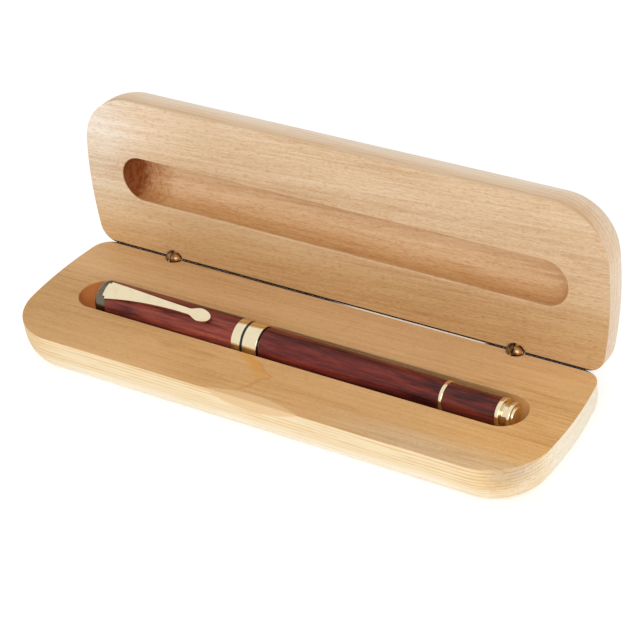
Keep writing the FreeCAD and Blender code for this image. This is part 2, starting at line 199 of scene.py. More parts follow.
# the case: both halves are cut from the same pale wood, each with its own figure
hingeLine = Vector(joints["lid_hinge"]["pos_m"]) / mm
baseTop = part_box("base_block")[1].z / mm
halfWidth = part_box("base_block")[1].y / mm
lidTurn = math.radians(joints["lid_hinge"]["range_deg"][1] - 180)
lidShift = -(Matrix.Rotation(lidTurn, 3, "X") @ hingeLine)
lidShift.z += hingeLine.z - baseTop
everywhere = (halfWidth + 5, halfWidth + 4)     # starts past the arris, so it is full over the whole face
baseWood = {
    "name": "pale wood of the base",
    "shift": (0.0, 0.0, -baseTop),     # the parting face lies at height 0
    "turn": 0.0,
    "across": (1.0, 0.0),              # sign and shift that put the hinges at the high end
    "slope": 0.015,                    # of the grain over the face
    "seed": 3.0,
    "dip": 0.035,                      # how steeply the growth rings come up through the face
    "sway": 1.6,
    "ringGap": 1.15,
    "ringDepth": 0.20,
    "fleck": 0.30,
    "dark": tone(186, 138, 86),
    "mid": tone(212, 169, 119),
    "light": tone(226, 186, 140),
    "frontTint": (1.0, 0.95, 0.82),
    "hingeShade": (1.0, 1.0, 1.0),
    "washes": [                        # a tint, and where it starts and is full
        {"tint": (0.90, 0.89, 0.84), "along": (-40.0, -80.0), "across": (14.0, -2.0)},
        {"tint": (1.13, 1.13, 1.08), "along": (35.0, 82.0), "across": everywhere},
        {"tint": (0.99, 1.17, 1.62), "along": (15.0, 55.0), "across": (-14.0, -22.0)}],
    "side": tone(255, 248, 230),
    "sideRing": tone(236, 202, 146),
    "sideEdge": (0.87, 0.765, 0.605),
    "edgeReach": (5.5, 10.5),          # mm down the side over which the edge's tint fades
    "endEdge": 0.05,                   # the tint's share on the ends
    # painted shade on the rounded front corner at the right end, fading down the side
    "cornerShade": {"tint": (0.74, 0.73, 0.77), "along": (73.0, 80.5), "across": (-10.0, -19.0),
                 "depth": (1.5, 10.0)},
    # the base's burnt ends, lightened and more orange as painted light against the pen's shadow
    "burnAndPaintedLight": {"left": tone(214, 134, 72), "leftSoft": tone(224, 162, 102), "leftReach": (9.0, 16.0),
             "right": tone(230, 174, 104), "rightReach": (1.0, 34.0)},
    "flame": {"tip": (1.2, -12.9), "upper": 1.67, "lower": 0.55, "ragged": 5.0,
              "inner": tone(216, 152, 60), "innerShare": 0.70, "starts": (0.0, 1.2), "ends": (2.0, 8.0),
              "frontEnd": (-5.0, 2.0), "backEnd": (5.0, 8.0),
              "line": tone(184, 112, 48), "lineShare": 0.34, "lineWidth": (0.1, 1.2),
              "lineMiddle": -2.0, "lineReach": (4.0, 9.0)},
    "wedge": {"middle": 2.0, "reach": 16.5, "ends": (0.9, 1.0), "width": 2.9, "fall": 1.25,
              "tone": tone(236, 202, 154), "share": 0.6, "edge": (-0.4, 0.2),
              "lowTone": tone(226, 190, 142), "lowShare": 0.85, "lowEdge": (-0.3, 0.1), "wall": (0.5, 1.0)},
    "seamHighlight": {"start": (-4.0, 8.0), "end": (48.0, 50.0), "worn": (-24.0, 12.0)},     # mm along: where the painted shadow stops and the painted highlight lies
    # painted highlight on the base's arris along the hinges
    "arrisHighlight": tone(255, 244, 226),
}
lidWood = {
    "name": "pale wood of the lid",
    "shift": tuple(lidShift),
    "turn": lidTurn,
    "across": (-1.0, hingeLine.y),
    "slope": -0.05,
    "seed": 11.0,
    "dip": 0.08,
    "sway": 2.2,
    "ringGap": 1.6,
    "ringDepth": 0.16,
    "fleck": 0.55,
    "dark": tone(190, 146, 100),
    "mid": tone(220, 186, 146),
    "light": tone(236, 210, 178),
    "frontTint": (0.98, 1.02, 1.09),
    # painted shade: the lid's face darker and warmer towards the hinges, where the base shades it
    "hingeShade": (0.76, 0.65, 0.48),
    # painted light: the groove's front wall and middle lightened against its shadow; painted shade: the wall by
    # the hinges darker and redder
    "grooveLightAndShade": [(0.10, (1.16, 1.08, 0.94)), (0.40, (1.03, 1.01, 1.0)), (0.74, (1.04, 1.02, 1.02)),
                    (0.94, (0.92, 0.79, 0.64))],     # painted light and shade, from its front wall to the one by the hinges
    "washes": [
        {"tint": (1.14, 1.21, 1.33), "along": (-40.0, -84.0), "across": everywhere},
        {"tint": (1.05, 1.17, 1.36), "along": (-62.0, -84.0), "across": (20.0, 5.0)}],
    "side": tone(248, 230, 208),
    "sideRing": tone(228, 196, 158),
    "sideEdge": (0.79, 0.66, 0.52),
    "edgeReach": (1.0, 8.0),
    "endEdge": 0.5,
    # the lid's burnt ends, the left one darker as painted shade
    "burnAndPaintedLight": {"left": tone(123, 58, 14), "leftSoft": tone(170, 104, 42), "leftReach": (7.2, 17.0),
             "right": tone(200, 146, 92), "rightReach": (1.0, 7.0)},
}
# painted shadow in the seam between the halves along the hinges
seamShadowTone = tone(36, 16, 6)
groove = {"shift": 0.6, "half": 7.1, "straight": 67.8}     # mm, as routed in both halves

# noise of the grain: marks per mm along, across and down, then detail and roughness
noiseMiddle = 0.5
grainNoise = {
    "sway": ((0.010, 0.050, 0.05), 2.0),
    "patch": ((0.035, 0.40, 0.60), 2.0),
    "cloud": ((0.009, 0.070, 0.07), 3.0),
    "streak": ((0.022, 1.0, 1.0), 3.0, 0.6),
    "fibre": ((0.16, 2.4, 2.4), 3.0, 0.65),
    "ray": ((0.40, 3.1, 3.1), 1.0),
    "tick": ((0.9, 3.6, 3.6), 2.0, 0.6),
}
burnNoise = {"mottle": ((0.7, 0.9, 0.9), 4.0, 0.65), "scratch": ((1.6, 0.45, 0.45), 2.0, 0.6)}
shade = {"cloud": 0.36, "streak": 0.40, "fibre": 0.30, "tick": 0.34, "stops": (0.47, 0.69, 0.91)}
growth = {"sharp": 3.0, "end": (0.0, 0.12), "least": 0.2, "varied": 0.8, "patch": (0.3, 0.6)}
rayLevel = (0.55, 0.70)
seedStep = 40.0                        # mm between the blocks that the halves are cut from
burnShare = {"leftSoft": (0.55, 0.25), "left": (0.88, 0.12), "right": (0.75, 0.6)}     # even, and by marks
burnRagged = {"leftSoft": 12.0, "left": 5.0, "right": 14.0}     # mm
burnCore = 0.4                         # of the soft burn's reach
scratchLevel = (0.46, 0.62)
sideLine = {"late": 1.9, "fibre": 1.1, "fibreMiddle": 0.52, "streak": 0.9, "endGrain": 0.45}

# where the zones of a half start and end, in mm
zone = {
    "tint": (-17.0, 21.0),             # across the face, from the front tint to the painted shade by the hinges
    "face": (0.3, 1.2),                # down from the parting face
    "grooveTop": (0.25, 0.7),
    "grooveFloor": (8.0, 9.0),
    "grooveEdge": (0.4, 1.4),          # out from the groove's outline
    "routed": (2.0, 4.0),
    "rim": (0.1, 0.4),
    "side": (0.02, 0.30),
    "front": (-23.0, -16.0),
    "endGrain": (60.0, 80.0),
    "endGrainHalf": (4.0, 12.0),       # about the middle of the front corners' rounds
    "seam": (0.42, 0.62),              # painted shadow, in from the arris along the hinges
    # where the painted highlight lies, in from the arris
    "worn": (0.45, 0.75),
    "seamDepth": (0.05, 0.25),
}
frontCorner = -18.0                    # mm across
# a painted highlight along the groove's rim, where its rounded arris would catch the light
rim = {"middle": 0.3, "share": 0.15}
sideShare = 0.94
relief = {"fibre": 0.5, "fleck": 0.8, "late": 0.3, "burnAndPaintedLight": 0.6, "strength": 0.14, "height": 0.0001}
caseLacquer = {"rough": 0.42, "fibre": 0.10, "burnAndPaintedLight": 0.4, "seam": 0.6, "ior": 1.28}


# growth rings, fibres and the short dark flecks of the rays
def woodGrain(g, wood, along, across, depth):
    skew = across - along * wood["slope"] + wood["seed"] * seedStep
    grain = g.vector(along, skew, depth)
    marks = {name: g.noise(grain, *rule) for name, rule in grainNoise.items()}
    swing = (marks["sway"] - noiseMiddle) * 2 * wood["sway"]
    rings = (depth + skew * wood["dip"] + swing) / wood["ringGap"]
    step = g.maths("FRACT", rings)
    strength = g.node("ShaderNodeTexWhiteNoise", {"noise_dimensions": "1D"},
                      {"W": g.maths("FLOOR", rings) + wood["seed"]})
    edge = step ** growth["sharp"] * g.rise(1.0 - step, *growth["end"])
    strength = strength * growth["varied"] + growth["least"]
    marks["late"] = edge * strength * g.rise(marks["patch"], *growth["patch"])
    marks["fleck"] = g.rise(marks["ray"], *rayLevel)
    return marks


def faceColour(g, wood, marks, along, across):
    level = (marks["cloud"] * shade["cloud"] + marks["streak"] * shade["streak"]
             + marks["fibre"] * shade["fibre"] + marks["tick"] * shade["tick"]
             - marks["late"] * wood["ringDepth"])
    colour = g.ramp(level, list(zip(shade["stops"], (wood["dark"], wood["mid"], wood["light"]))))
    colour = g.mix(marks["fleck"] * wood["fleck"], colour, opaque(wood["dark"]))
    # the tint by the hinges is painted shade, full on the lid and none on the base
    tint = g.mix(g.rise(across, *zone["tint"]), opaque(wood["frontTint"]), opaque(wood["hingeShade"]))
    colour = g.mix(1.0, colour, tint, "MULTIPLY")
    for wash in wood["washes"]:
        there = g.rise(along, *wash["along"]) * g.rise(across, *wash["across"])
        colour = g.mix(there, colour, opaque(wash["tint"]), "MULTIPLY")
    return colour


# a figure like a flame that runs out on the face
def addFlame(g, flame, colour, patch, along, across, nearFace):
    off = across - flame["tip"][1]
    behind = (flame["tip"][0] - along - g.above(off) * flame["upper"] - g.above(0.0 - off) * flame["lower"]
              + (patch - noiseMiddle) * flame["ragged"])
    inside = g.rise(behind, *flame["starts"]) * g.fall(behind, *flame["ends"])
    inside = inside * g.rise(off, *flame["frontEnd"]) * g.fall(off, *flame["backEnd"]) * nearFace
    line = g.fall(g.size(behind), *flame["lineWidth"]) * nearFace
    line = line * g.fall(g.size(off - flame["lineMiddle"]), *flame["lineReach"])
    colour = g.mix(inside * flame["innerShare"], colour, opaque(flame["inner"]))
    return g.mix(line * flame["lineShare"], colour, opaque(flame["line"]))


# a worn facet on the front arris: how much of it lies on the face and on the side
def wornFacet(g, wedge, streak, along, across, depth):
    run = (along - wedge["middle"]) / wedge["reach"]
    width = (1.0 - run * run) * wedge["width"] + (streak - noiseMiddle)
    within = g.fall(g.size(run), *wedge["ends"])
    fromFront = across + halfWidth
    onFace = g.fall(fromFront - width, *wedge["edge"]) * within
    onSide = g.fall(depth - width * wedge["fall"], *wedge["lowEdge"]) * within
    return onFace, onSide * g.fall(fromFront, *wedge["wall"])


# ends of the groove that the cutter burnt, with painted light and shade on them: the lid's left end darkened as if
# in shadow, the base's ends lightened against the pen's shadow
def addBurnAndPaintedLight(g, burnAndPaintedLight, colour, place, along, inGroove):
    grooveEnd = groove["straight"] + groove["half"]
    fromLeft = along + grooveEnd
    fromRight = grooveEnd - along
    mottle = g.noise(place, *burnNoise["mottle"]) - noiseMiddle
    scratch = g.rise(g.noise(place, *burnNoise["scratch"]), *scratchLevel)
    near, far = burnAndPaintedLight["leftReach"]
    there = {
        "leftSoft": g.fall(fromLeft + mottle * burnRagged["leftSoft"], near, far),
        "left": g.fall(fromLeft + mottle * burnRagged["left"], near * burnCore, near),
        "right": g.fall(fromRight + mottle * burnRagged["right"], *burnAndPaintedLight["rightReach"]),
    }
    for name, mark in (("leftSoft", scratch), ("left", scratch), ("right", mottle)):
        even, varied = burnShare[name]
        colour = g.mix(inGroove * there[name] * (even + mark * varied), colour, opaque(burnAndPaintedLight[name]))
    burnt = inGroove * g.clamp(there["leftSoft"] + there["right"])
    return colour, burnt, mottle


# the sides: fine level lines of the rings, more of them at the end grain, a tint near the parting face, and
# painted shade on the base's right front corner
def sideColour(g, wood, marks, along, across, depth):
    corner = g.fall(g.size(across - frontCorner), *zone["endGrainHalf"])
    corner = corner * g.rise(g.size(along), *zone["endGrain"])
    line = (marks["late"] * sideLine["late"]
            + (sideLine["fibreMiddle"] - marks["fibre"]) * sideLine["fibre"]
            + (noiseMiddle - marks["streak"]) * sideLine["streak"] + corner * sideLine["endGrain"])
    sawn = g.mix(g.clamp(line), opaque(wood["side"]), opaque(wood["sideRing"]))
    share = g.fall(across, *zone["front"]) * (1.0 - wood["endEdge"]) + wood["endEdge"]
    sawn = g.mix(g.fall(depth, *wood["edgeReach"]) * share, sawn, opaque(wood["sideEdge"]), "MULTIPLY")
    # painted shade at the right front corner
    if "cornerShade" in wood:
        wash = wood["cornerShade"]
        there = g.rise(along, *wash["along"]) * g.rise(across, *wash["across"])
        there = there * g.fall(depth, *wash["depth"])
        sawn = g.mix(there, sawn, opaque(wash["tint"]), "MULTIPLY")
    return sawn


# along the hinges a painted shadow darkens the seam, and a painted highlight makes a pale line on the base's arris
def addSeamShadowAndHighlight(g, wood, colour, along, across, depth):
    fromArris = halfWidth - across
    nearTop = g.fall(depth, *zone["seamDepth"])
    seam = g.fall(fromArris, *zone["seam"]) * nearTop
    if "seamHighlight" in wood:
        bare = wood["seamHighlight"]
        # painted highlight along part of the base's arris
        worn = g.rise(along, *bare["worn"]) * g.fall(fromArris, *zone["worn"]) * nearTop
        colour = g.mix(worn, colour, opaque(wood["arrisHighlight"]))
        seam = seam * (1.0 - g.rise(along, *bare["start"]) * g.fall(along, *bare["end"]))
    return g.mix(seam, colour, opaque(seamShadowTone)), seam


def caseWood(wood):
    g = newFinish(wood["name"])
    place = g.place(wood["shift"], (wood["turn"], 0, 0))
    sign, offset = wood["across"]
    along = g.axis(place, "X")
    across = g.axis(place, "Y") * sign + offset
    depth = 0.0 - g.axis(place, "Z")
    marks = woodGrain(g, wood, along, across, depth)
    colour = faceColour(g, wood, marks, along, across)
    if "flame" in wood:
        nearFace = g.fall(depth, *zone["face"])
        colour = addFlame(g, wood["flame"], colour, marks["patch"], along, across, nearFace)
    if "wedge" in wood:
        wedge = wood["wedge"]
        onFace, onSide = wornFacet(g, wedge, marks["streak"], along, across, depth)
        colour = g.mix(onFace * wedge["share"], colour, opaque(wedge["tone"]))

    # the groove, by the distance from its outline, with a painted highlight along its rim
    offLine = across - groove["shift"]
    beyond = g.above(g.size(along) - groove["straight"])
    edge = g.maths("SQRT", offLine * offLine + beyond * beyond) - groove["half"]
    aboveFloor = g.fall(depth, *zone["grooveFloor"])
    onRimHighlight = g.fall(g.size(edge - rim["middle"]), *zone["rim"])
    colour = g.mix(onRimHighlight * rim["share"], colour, opaque(wood["light"]))
    inGroove = g.rise(depth, *zone["grooveTop"]) * aboveFloor * g.fall(edge, *zone["grooveEdge"])
    # the groove's walls get painted light and shade on the lid
    if "grooveLightAndShade" in wood:
        wall = g.ramp(offLine / (2 * groove["half"]) + 0.5, wood["grooveLightAndShade"])
        colour = g.mix(inGroove, colour, wall, "MULTIPLY")
    colour, burnt, mottle = addBurnAndPaintedLight(g, wood["burnAndPaintedLight"], colour, place, along, inGroove)

    sawn = sideColour(g, wood, marks, along, across, depth)
    if "wedge" in wood:
        sawn = g.mix(onSide * wedge["lowShare"], sawn, opaque(wedge["lowTone"]))
    side = g.rise(depth, *zone["side"]) * (1.0 - g.fall(edge, *zone["routed"]) * aboveFloor)
    colour = g.mix(side * sideShare, colour, sawn)
    colour, seam = addSeamShadowAndHighlight(g, wood, colour, along, across, depth)

    height = (marks["fibre"] * relief["fibre"] - marks["fleck"] * relief["fleck"]
              - marks["late"] * relief["late"] + mottle * burnt * relief["burnAndPaintedLight"])
    rough = g.clamp(caseLacquer["rough"] + marks["fibre"] * caseLacquer["fibre"]
                    + burnt * caseLacquer["burnAndPaintedLight"] + seam * caseLacquer["seam"])
    return g.surface(Base_Color=colour, Roughness=rough, IOR=caseLacquer["ior"],
                     Normal=g.bump(height, relief["strength"], relief["height"]))


# turned wood of the pen, under a clear lacquer
penLine = Vector(joints["barrel_turn"]["pos_m"]) / mm
capWood = {"name": "red wood of the cap", "seed": 5.0,
           "dark": tone(60, 22, 18), "mid": tone(122, 52, 42), "light": tone(162, 78, 58)}
barrelWood = {"name": "red wood of the barrel", "seed": 6.2,
              "dark": tone(44, 13, 13), "mid": tone(98, 35, 30), "light": tone(136, 56, 44)}
tailWood = {"name": "dark wood of the tail", "seed": 9.0,
            "dark": tone(50, 22, 22), "mid": tone(104, 42, 33), "light": tone(134, 56, 43)}
penNoise = {"broad": ((0.035, 0.20, 0.20), 3.0, 0.55, 0.5), "streak": ((0.07, 0.95, 0.95), 3.0, 0.6, 0.7),
            "pore": ((0.45, 5.0, 5.0), 1.0)}
penShade = {"broad": 0.58, "streak": 0.56, "pore": 0.45, "poreLevel": (0.58, 0.70),
            "stops": (0.42, 0.57, 0.76)}
penSeedStep = 10.0                     # mm along
penLacquer = {"rough": 0.20, "streakRough": 0.06, "ior": 1.30}


def penWood(wood):
    g = newFinish(wood["name"])
    place = g.place((wood["seed"] * penSeedStep, -penLine.y, -penLine.z))
    broad = g.noise(place, *penNoise["broad"])
    streak = g.noise(place, *penNoise["streak"])
    pore = g.rise(g.noise(place, *penNoise["pore"]), *penShade["poreLevel"])
    level = broad * penShade["broad"] + streak * penShade["streak"]
    colour = g.ramp(level, list(zip(penShade["stops"], (wood["dark"], wood["mid"], wood["light"]))))
    colour = g.mix(pore * penShade["pore"], colour, opaque(wood["dark"]))
    rough = penLacquer["rough"] + streak * penLacquer["streakRough"]
    return g.surface(Base_Color=colour, Roughness=rough, IOR=penLacquer["ior"])


# plated and bare metal: a tone, a second tone where it is worn, and its polish
goldPlate = {"name": "gold plate", "tone": tone(235, 220, 185), "worn": tone(231, 214, 178), "rough": 0.13}
gunmetal = {"name": "dark plated crown", "tone": tone(114, 105, 92), "worn": tone(82, 75, 65),
            "rough": 0.18}
agedBrass = {"name": "aged brass", "tone": tone(166, 126, 84), "worn": tone(80, 54, 34), "rough": 0.26}
turnedBrass = {"name": "bare turned brass", "tone": tone(214, 184, 118), "worn": tone(190, 156, 92),
               "rough": 0.24}
nibPlate = {"name": "plated nib", "tone": tone(236, 214, 160), "worn": tone(220, 194, 138), "rough": 0.16}
metalNoise = {"haze": ((0.35, 0.35, 0.35), 3.0), "brush": ((6.0, 0.6, 0.6), 2.0)}
metalWear = (0.42, 0.68)
brushing = {"plain": 0.8, "haze": 0.3, "brush": 0.2, "strength": 0.02, "height": 0.00002}


def metal(look):
    g = newFinish(look["name"])
    place = g.place()
    haze = g.noise(place, *metalNoise["haze"])
    brush = g.noise(place, *metalNoise["brush"])
    colour = g.mix(g.rise(haze, *metalWear), opaque(look["tone"]), opaque(look["worn"]))
    rough = look["rough"] * (brushing["plain"] + haze * brushing["haze"] + brush * brushing["brush"])
    return g.surface(Base_Color=colour, Metallic=1.0, Roughness=rough,
                     Normal=g.bump(brush, brushing["strength"], brushing["height"]))


# moulded and filled pieces
enamel = {"name": "black enamel", "tone": tone(14, 13, 13), "worn": tone(30, 28, 27), "rough": 0.12}
resin = {"name": "black resin", "tone": tone(20, 20, 21), "worn": tone(34, 33, 33), "rough": 0.16}
rubber = {"name": "seal rubber", "tone": tone(34, 34, 35), "worn": tone(52, 51, 50), "rough": 0.55}
clearWall = {"name": "clear tube", "tone": tone(226, 232, 236), "worn": tone(214, 222, 228), "rough": 0.06,
             "clear": 0.9}
mouldNoise = ((0.5, 0.5, 0.5), 3.0)
mouldWear = (0.45, 0.7)
mouldPolish = {"plain": 0.8, "haze": 0.4, "ior": 1.49}


def moulded(look):
    g = newFinish(look["name"])
    haze = g.noise(g.place(), *mouldNoise)
    colour = g.mix(g.rise(haze, *mouldWear), opaque(look["tone"]), opaque(look["worn"]))
    rough = look["rough"] * (mouldPolish["plain"] + haze * mouldPolish["haze"])
    return g.surface(Base_Color=colour, Roughness=rough, Transmission_Weight=look.get("clear", 0.0),
                     IOR=mouldPolish["ior"])


finishes = {
    "maple": caseWood(baseWood),
    "rosewood": penWood(capWood),
    "dark_rosewood": penWood(tailWood),
    "gold_plate": metal(goldPlate),
    "gunmetal": metal(gunmetal),
    "antique_brass": metal(agedBrass),
    "brass_tube": metal(turnedBrass),
    "black_enamel": moulded(enamel),
    "black_resin": moulded(resin),
    "nib_steel": metal(nibPlate),
    "clear_tube": moulded(clearWall),
    "seal_rubber": moulded(rubber),
}
ownFinishes = {"lid_block": caseWood(lidWood), "barrel_sleeve": penWood(barrelWood)}
for name, piece in nodes.items():
    piece.data.materials.clear()
    piece.data.materials.append(ownFinishes.get(name, finishes[slotOf[name]]))
print("finishes made:", len(finishes) + len(ownFinishes))


# a made piece moves with the nodes that it stands for
def seat(item, replaced):
    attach(item, bodyOf[replaced[0]])
    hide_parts(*replaced)


def addItem(name, data):
    item = bpy.data.objects.new(name, data)
    scene.collection.objects.link(item)
    return item


# both halves keep their CAD form, with a finer round along the hinges that closes the seam when open
arris = {"round": 0.12, "fine": 0.03, "reach": 80.2, "start": 0.001, "slack": 0.003}     # mm
copyWeld = 1e-8     # metres


def fineHalf(name, node, wood):
    turn = Matrix.Rotation(wood["turn"], 3, "X")
    sign, offset = wood["across"]
    drawn = nodes[node].data
    facing = [corner.vector.copy() for corner in drawn.corner_normals]
    shaped = bmesh.new()
    shaped.from_mesh(drawn)
    bmesh.ops.remove_doubles(shaped, verts=shaped.verts[:], dist=copyWeld)
    moved = 0
    for vert in shaped.verts:
        spot = turn @ (vert.co / mm) + Vector(wood["shift"])
        out = Vector((spot.y * sign + offset - halfWidth, spot.z))     # from the sharp corner
        inner = out + Vector((arris["round"], arris["round"]))
        onRound = min(inner) > -arris["start"] and abs(inner.length - arris["round"]) < arris["slack"]
        if onRound and abs(spot.x) < arris["reach"]:
            step = out * (arris["fine"] / arris["round"] - 1)
            vert.co += turn.inverted() @ Vector((0, step.x * sign, step.y)) * mm
            moved += 1
    shape = bpy.data.meshes.new(name)
    shaped.to_mesh(shape)
    shaped.free()
    shape.materials.append(drawn.materials[0])
    shape.normals_split_custom_set(facing)     # the faces keep the directions that the CAD gives them
    seat(addItem(name, shape), [node])
    print(name, "made,", moved, "points of its arris moved")


fineHalf("wood_base", "base_block", baseWood)
fineHalf("wood_lid", "lid_block", lidWood)


# Geometry Nodes: the lathe turns a profile, drawn as x and radius, about the pen's axis
turning = {"steps": 96, "bends": 4, "weld": 1e-6, "sharpAngle": 40}


def makeTree(name, inputs):
    tree = bpy.data.node_groups.new(name, "GeometryNodeTree")
    for label, kind in inputs.items():
        tree.interface.new_socket(label, in_out="INPUT", socket_type="NodeSocket" + kind)
    tree.interface.new_socket("Piece", in_out="OUTPUT", socket_type="NodeSocketGeometry")
    return tree


def givenTo(graph):
    return lambda label: graph.node("NodeGroupInput", output=label)


def endTree(graph, shape, finish):
    real = graph.node("GeometryNodeRealizeInstances", None, {"Geometry": shape})
    done = graph.node("GeometryNodeSetMaterial", None, {"Geometry": real, "Material": finish})
    graph.node("NodeGroupOutput", None, {"Piece": done})


def makeLathe():
    tree = makeTree("lathe", {"Profile": "Geometry", "Steps around": "Int", "Axis across": "Float",
                              "Axis height": "Float", "Finish": "Material"})
    g = Graph(tree)
    given = givenTo(g)
    steps = given("Steps around")
    profile = given("Profile")
    corners = g.node("GeometryNodeAttributeDomainSize", {"component": "MESH"}, {"Geometry": profile})
    sheet = g.node("GeometryNodeMeshGrid", None, {"Vertices X": corners, "Vertices Y": steps + 1})
    index = g.node("GeometryNodeInputIndex")
    corner = g.maths("FLOOR", (index + 0.5) / (steps + 1))
    angle = (index - corner * (steps + 1)) / steps * (2 * math.pi)
    position = g.node("GeometryNodeInputPosition")
    drawn = g.node("GeometryNodeSampleIndex", {"data_type": "FLOAT_VECTOR", "domain": "POINT"},
                   {"Geometry": profile, "Value": position, "Index": corner})
    radius = g.axis(drawn, "Z")
    spun = g.vector(g.axis(drawn, "X"), given("Axis across") + radius * g.maths("SINE", angle),
                    given("Axis height") + radius * g.maths("COSINE", angle))
    shape = g.node("GeometryNodeSetPosition", None, {"Geometry": sheet, "Position": spun})
    shape = g.node("GeometryNodeMergeByDistance", None, {"Geometry": shape, "Distance": turning["weld"]})
    shape = g.node("GeometryNodeSetShadeSmooth", None, {"Geometry": shape, "Shade Smooth": True})
    endTree(g, shape, given("Finish"))
    return tree


# the pair sets one item at both hinges
def makePair():
    tree = makeTree("pair", {"Item": "Geometry", "First place": "Vector", "Spread": "Float",
                             "Finish": "Material"})
    g = Graph(tree)
    given = givenTo(g)
    step = g.vector(given("Spread"), 0.0, 0.0)
    places = g.node("GeometryNodeMeshLine", {"mode": "OFFSET"},
                    {"Count": 2, "Start Location": given("First place"), "Offset": step})
    both = g.node("GeometryNodeInstanceOnPoints", None, {"Points": places, "Instance": given("Item")})
    endTree(g, both, given("Finish"))
    return tree


lathe = makeLathe()
pair = makePair()


def addTree(item, tree, **values):
    modifier = item.modifiers.new(tree.name, "NODES")
    modifier.node_group = tree
    for socket in tree.interface.items_tree:
        if socket.in_out == "INPUT" and socket.name in values:
            modifier[socket.identifier] = values[socket.name]


# corners are (x, radius, ease) in mm: an eased corner becomes a short curve
def eased(corners, closed):
    points = []
    last = len(corners) - 1
    for place, (x, radius, ease) in enumerate(corners):
        here = Vector((x, radius))
        if ease == 0 or (not closed and place in (0, last)):
            points.append(here)
            continue
        before = Vector(corners[place - 1][:2])
        after = Vector(corners[(place + 1) % len(corners)][:2])
        start = here + (before - here).normalized() * ease
        end = here + (after - here).normalized() * ease
        for bend in range(turning["bends"] + 1):
            t = bend / turning["bends"]
            points.append(start * (1 - t) ** 2 + here * 2 * t * (1 - t) + end * t * t)
    if closed:
        points.append(points[0])
    return points


# a turned piece takes the finish of the first node that it replaces
def turnPiece(name, replaced, corners, closed=True, places=None, stepsAround=turning["steps"]):
    finish = nodes[replaced[0]].data.materials[0]
    points = eased(corners, closed)
    runs = [(i, i + 1) for i in range(len(points) - 1)]
    drawn = bpy.data.meshes.new(name + "_profile")
    drawn.from_pydata([(p.x * mm, 0.0, p.y * mm) for p in points], runs, [])
    item = addItem(name, drawn)
    axis = (0.0, 0.0) if places else (penLine.y * mm, penLine.z * mm)
    addTree(item, lathe, **{"Steps around": stepsAround, "Axis across": axis[0], "Axis height": axis[1],
                            "Finish": finish})
    if places:
        addTree(item, pair, **{"First place": places[0], "Spread": places[1], "Finish": finish})
    shape = bpy.data.meshes.new_from_object(item.evaluated_get(bpy.context.evaluated_depsgraph_get()))
    item.modifiers.clear()
    item.data = shape
    shaped = bmesh.new()
    shaped.from_mesh(shape)
    bmesh.ops.recalc_face_normals(shaped, faces=shaped.faces[:])
    shaped.to_mesh(shape)
    shaped.free()
    shape.set_sharp_from_angle(angle=math.radians(turning["sharpAngle"]))
    seat(item, replaced)


# a node's start, end and radius in mm
def span(node):
    low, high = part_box(node)
    return low.x / mm, high.x / mm, (high.z - low.z) / 2 / mm


# a sleeve from start to end: its bore, and radius and ease at each end
def sleeve(start, end, bore, first, last):
    return [(start, bore, 0), (start, *first), (end, *last), (end, bore, 0)]


cap = {"crownEase": 0.10, "bandEase": 0.06}
capStart, capEnd, capRadius = span("cap_sleeve")
linerRadius = span("cap_liner")[2]
turnPiece("turned_cap", ["cap_sleeve"],
          sleeve(capStart, capEnd, linerRadius, (capRadius, cap["crownEase"]),
                 (capRadius, cap["bandEase"])))

# the band, with a channel for its black ring
band = {"edge": 0.22, "lip": 0.05, "channel": 0.4, "inlaySunk": 0.02}
bandStart, bandEnd, bandRadius = span("cap_band")
inlayStart, inlayEnd, inlayRadius = span("band_inlay")
channelRadius = bandRadius - band["channel"]
inlayTop = inlayRadius - band["inlaySunk"]
turnPiece("turned_band", ["cap_band"],
          [(bandStart, linerRadius, 0), (bandStart, bandRadius, band["edge"]),
           (inlayStart, bandRadius, band["lip"]), (inlayStart, channelRadius, 0),
           (inlayEnd, channelRadius, 0), (inlayEnd, bandRadius, band["lip"]),
           (bandEnd, bandRadius, band["edge"]), (bandEnd, linerRadius, 0)])
turnPiece("turned_inlay", ["band_inlay"],
          sleeve(inlayStart, inlayEnd, channelRadius, (inlayTop, 0), (inlayTop, 0)))

barrel = {"endRadius": 4.5, "bore": 4.0, "mouthEase": 0.12, "endEase": 0.06}
barrelStart, barrelEnd, barrelRadius = span("barrel_sleeve")
turnPiece("turned_barrel", ["barrel_sleeve"],
          sleeve(barrelStart, barrelEnd, barrel["bore"], (barrelRadius, barrel["mouthEase"]),
                 (barrel["endRadius"], barrel["endEase"])))

tail = {"endRadius": 4.15, "bore": 2.0, "ease": 0.06, "ringEase": 0.40}
ringStart, ringEnd, ringRadius = span("barrel_ring")
turnPiece("turned_ring", ["barrel_ring"],
          sleeve(ringStart, ringEnd, tail["bore"], (ringRadius, tail["ringEase"]),
                 (ringRadius, tail["ringEase"])))
tailStart, tailEnd, tailRadius = span("tail_sleeve")
turnPiece("turned_tail", ["tail_sleeve"],
          sleeve(tailStart, tailEnd, tail["bore"], (tailRadius, tail["ease"]),
                 (tail["endRadius"], tail["ease"])))

